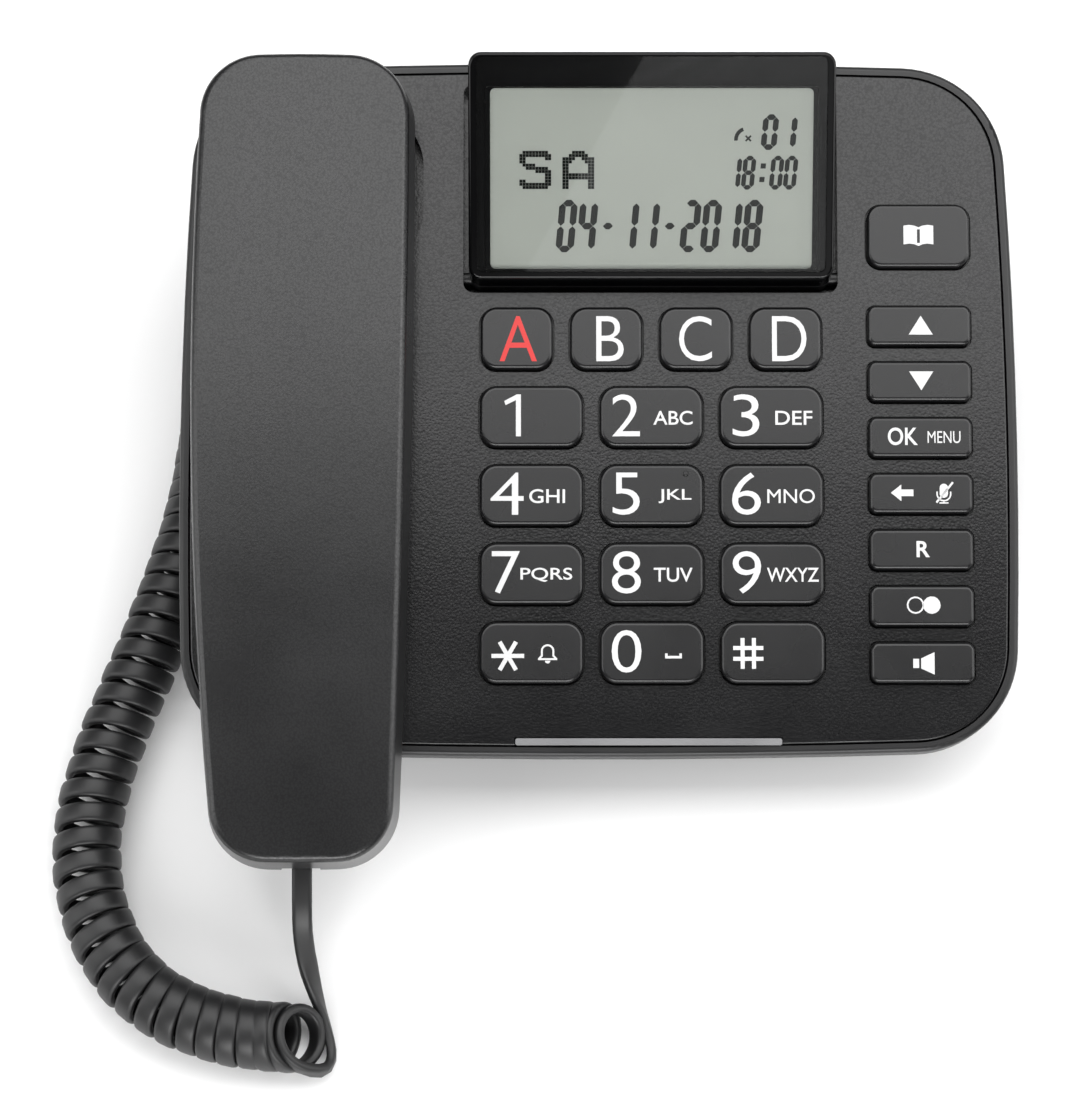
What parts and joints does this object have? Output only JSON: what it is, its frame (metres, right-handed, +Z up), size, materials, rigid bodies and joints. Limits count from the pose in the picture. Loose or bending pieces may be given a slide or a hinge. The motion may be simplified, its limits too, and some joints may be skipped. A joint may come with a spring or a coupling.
{
  "type": "desk telephone",
  "caption": "Corded desk telephone with large keys, raised tilting display, light bar and a handset on a flat curly cord.",
  "frame": {"origin": "middle of the telephone's outline on the table, cord left out", "axes": "+Z up, +X to the user's right, +Y away from the user"},
  "size_m": [0.233, 0.2405, 0.0857],
  "materials": {
    "deck_grain": "fine leather-like moulded grain",
    "dark_shell": "smooth satin black",
    "handset_grain": "fine moulded texture",
    "key_plastic": "satin",
    "foot_rubber": "matt",
    "screw_steel": "plain",
    "circuit_board": "solder mask",
    "mat_silicone": "matt silicone",
    "gloss_black": "gloss",
    "clear_window": "polished",
    "lcd_grey": "pale grey-green reflective",
    "light_guide": "frosted",
    "speaker_steel": "plain",
    "jack_plastic": "moulded",
    "weight_steel": "plain",
    "cord_black": "satin PVC",
    "plug_clear": "tinted"
  },
  "bodies": {
    "base": {"base_bottom_shell": "dark_shell", "base_screws": "screw_steel", "base_top_shell": "deck_grain", "board_screws": "screw_steel", "cord_base_plug": "plug_clear", "cord_base_tail": "cord_black", "cord_coil": "cord_black", "cord_handset_tail": "cord_black", "handset_cord_jack": "jack_plastic", "handsfree_microphone": "speaker_steel", "hook_switch": "dark_shell", "keypad_mat": "mat_silicone", "light_bar": "light_guide", "line_jack": "jack_plastic", "loudspeaker": "speaker_steel", "loudspeaker_clamp": "dark_shell", "main_board": "circuit_board", "rubber_feet": "foot_rubber"},
    "handset": {"handset_inner_shell": "handset_grain", "handset_microphone": "speaker_steel", "handset_outer_shell": "handset_grain", "handset_receiver": "speaker_steel", "handset_screws": "screw_steel", "handset_socket": "jack_plastic", "handset_weight": "weight_steel", "cord_handset_plug": "plug_clear"},
    "display": {"display_back_cover": "dark_shell", "display_bezel": "gloss_black", "display_hinge_pins": "dark_shell", "display_mask": "gloss_black", "display_window": "clear_window", "lcd_panel": "lcd_grey", "lcd_board": "circuit_board"},
    "hook": {"hook_plunger": "dark_shell", "hook_spring": "screw_steel"},
    "key_0_body": {"key_0": "key_plastic"},
    "key_1_body": {"key_1": "key_plastic"},
    "key_2_body": {"key_2": "key_plastic"},
    "key_3_body": {"key_3": "key_plastic"},
    "key_4_body": {"key_4": "key_plastic"},
    "key_5_body": {"key_5": "key_plastic"},
    "key_6_body": {"key_6": "key_plastic"},
    "key_7_body": {"key_7": "key_plastic"},
    "key_8_body": {"key_8": "key_plastic"},
    "key_9_body": {"key_9": "key_plastic"},
    "key_a_body": {"key_a": "key_plastic"},
    "key_b_body": {"key_b": "key_plastic"},
    "key_back_body": {"key_back": "key_plastic"},
    "key_c_body": {"key_c": "key_plastic"},
    "key_d_body": {"key_d": "key_plastic"},
    "key_down_body": {"key_down": "key_plastic"},
    "key_hash_body": {"key_hash": "key_plastic"},
    "key_ok_body": {"key_ok": "key_plastic"},
    "key_phonebook_body": {"key_phonebook": "key_plastic"},
    "key_recall_body": {"key_recall": "key_plastic"},
    "key_redial_body": {"key_redial": "key_plastic"},
    "key_speaker_body": {"key_speaker": "key_plastic"},
    "key_star_body": {"key_star": "key_plastic"},
    "key_up_body": {"key_up": "key_plastic"}
  },
  "joints": [
    {"name": "key_0_press", "type": "slide", "parent": "base", "child": "key_0_body", "axis": [0, 0.2079, -0.9781], "range_m": [0, 0.0015], "stiffness_N_per_m": 250, "springref_m": -0.0006},
    {"name": "key_1_press", "type": "slide", "parent": "base", "child": "key_1_body", "axis": [0, 0.2079, -0.9781], "range_m": [0, 0.0015], "stiffness_N_per_m": 250, "springref_m": -0.0006},
    {"name": "key_2_press", "type": "slide", "parent": "base", "child": "key_2_body", "axis": [0, 0.2079, -0.9781], "range_m": [0, 0.0015], "stiffness_N_per_m": 250, "springref_m": -0.0006},
    {"name": "key_3_press", "type": "slide", "parent": "base", "child": "key_3_body", "axis": [0, 0.2079, -0.9781], "range_m": [0, 0.0015], "stiffness_N_per_m": 250, "springref_m": -0.0006},
    {"name": "key_4_press", "type": "slide", "parent": "base", "child": "key_4_body", "axis": [0, 0.2079, -0.9781], "range_m": [0, 0.0015], "stiffness_N_per_m": 250, "springref_m": -0.0006},
    {"name": "key_5_press", "type": "slide", "parent": "base", "child": "key_5_body", "axis": [0, 0.2079, -0.9781], "range_m": [0, 0.0015], "stiffness_N_per_m": 250, "springref_m": -0.0006},
    {"name": "key_6_press", "type": "slide", "parent": "base", "child": "key_6_body", "axis": [0, 0.2079, -0.9781], "range_m": [0, 0.0015], "stiffness_N_per_m": 250, "springref_m": -0.0006},
    {"name": "key_7_press", "type": "slide", "parent": "base", "child": "key_7_body", "axis": [0, 0.2079, -0.9781], "range_m": [0, 0.0015], "stiffness_N_per_m": 250, "springref_m": -0.0006},
    {"name": "key_8_press", "type": "slide", "parent": "base", "child": "key_8_body", "axis": [0, 0.2079, -0.9781], "range_m": [0, 0.0015], "stiffness_N_per_m": 250, "springref_m": -0.0006},
    {"name": "key_9_press", "type": "slide", "parent": "base", "child": "key_9_body", "axis": [0, 0.2079, -0.9781], "range_m": [0, 0.0015], "stiffness_N_per_m": 250, "springref_m": -0.0006},
    {"name": "key_a_press", "type": "slide", "parent": "base", "child": "key_a_body", "axis": [0, 0.2079, -0.9781], "range_m": [0, 0.0015], "stiffness_N_per_m": 250, "springref_m": -0.0006},
    {"name": "key_b_press", "type": "slide", "parent": "base", "child": "key_b_body", "axis": [0, 0.2079, -0.9781], "range_m": [0, 0.0015], "stiffness_N_per_m": 250, "springref_m": -0.0006},
    {"name": "key_back_press", "type": "slide", "parent": "base", "child": "key_back_body", "axis": [0, 0.2079, -0.9781], "range_m": [0, 0.0015], "stiffness_N_per_m": 250, "springref_m": -0.0006},
    {"name": "key_c_press", "type": "slide", "parent": "base", "child": "key_c_body", "axis": [0, 0.2079, -0.9781], "range_m": [0, 0.0015], "stiffness_N_per_m": 250, "springref_m": -0.0006},
    {"name": "key_d_press", "type": "slide", "parent": "base", "child": "key_d_body", "axis": [0, 0.2079, -0.9781], "range_m": [0, 0.0015], "stiffness_N_per_m": 250, "springref_m": -0.0006},
    {"name": "key_down_press", "type": "slide", "parent": "base", "child": "key_down_body", "axis": [0, 0.2079, -0.9781], "range_m": [0, 0.0015], "stiffness_N_per_m": 250, "springref_m": -0.0006},
    {"name": "key_hash_press", "type": "slide", "parent": "base", "child": "key_hash_body", "axis": [0, 0.2079, -0.9781], "range_m": [0, 0.0015], "stiffness_N_per_m": 250, "springref_m": -0.0006},
    {"name": "key_ok_press", "type": "slide", "parent": "base", "child": "key_ok_body", "axis": [0, 0.2079, -0.9781], "range_m": [0, 0.0015], "stiffness_N_per_m": 250, "springref_m": -0.0006},
    {"name": "key_phonebook_press", "type": "slide", "parent": "base", "child": "key_phonebook_body", "axis": [0, 0.2079, -0.9781], "range_m": [0, 0.0015], "stiffness_N_per_m": 250, "springref_m": -0.0006},
    {"name": "key_recall_press", "type": "slide", "parent": "base", "child": "key_recall_body", "axis": [0, 0.2079, -0.9781], "range_m": [0, 0.0015], "stiffness_N_per_m": 250, "springref_m": -0.0006},
    {"name": "key_redial_press", "type": "slide", "parent": "base", "child": "key_redial_body", "axis": [0, 0.2079, -0.9781], "range_m": [0, 0.0015], "stiffness_N_per_m": 250, "springref_m": -0.0006},
    {"name": "key_speaker_press", "type": "slide", "parent": "base", "child": "key_speaker_body", "axis": [0, 0.2079, -0.9781], "range_m": [0, 0.0015], "stiffness_N_per_m": 250, "springref_m": -0.0006},
    {"name": "key_star_press", "type": "slide", "parent": "base", "child": "key_star_body", "axis": [0, 0.2079, -0.9781], "range_m": [0, 0.0015], "stiffness_N_per_m": 250, "springref_m": -0.0006},
    {"name": "key_up_press", "type": "slide", "parent": "base", "child": "key_up_body", "axis": [0, 0.2079, -0.9781], "range_m": [0, 0.0015], "stiffness_N_per_m": 250, "springref_m": -0.0006},
    {"name": "display_tilt", "type": "hinge", "parent": "base", "child": "display", "pos_m": [0.0125, 0.04598, 0.04872], "axis": [1, 0, 0], "range_deg": [0, 25]},
    {"name": "handset_lift", "type": "slide", "parent": "base", "child": "handset", "axis": [0, 0, 1], "range_m": [0, 0.06]},
    {"name": "hook_press", "type": "slide", "parent": "base", "child": "hook", "axis": [0, 0, 1], "range_m": [0, 0.004], "deforming": ["hook_spring"]}
  ],
  "couplings": [
    {"joint": "hook_press", "follows": "handset_lift", "ratio": 0.066667}
  ]
}
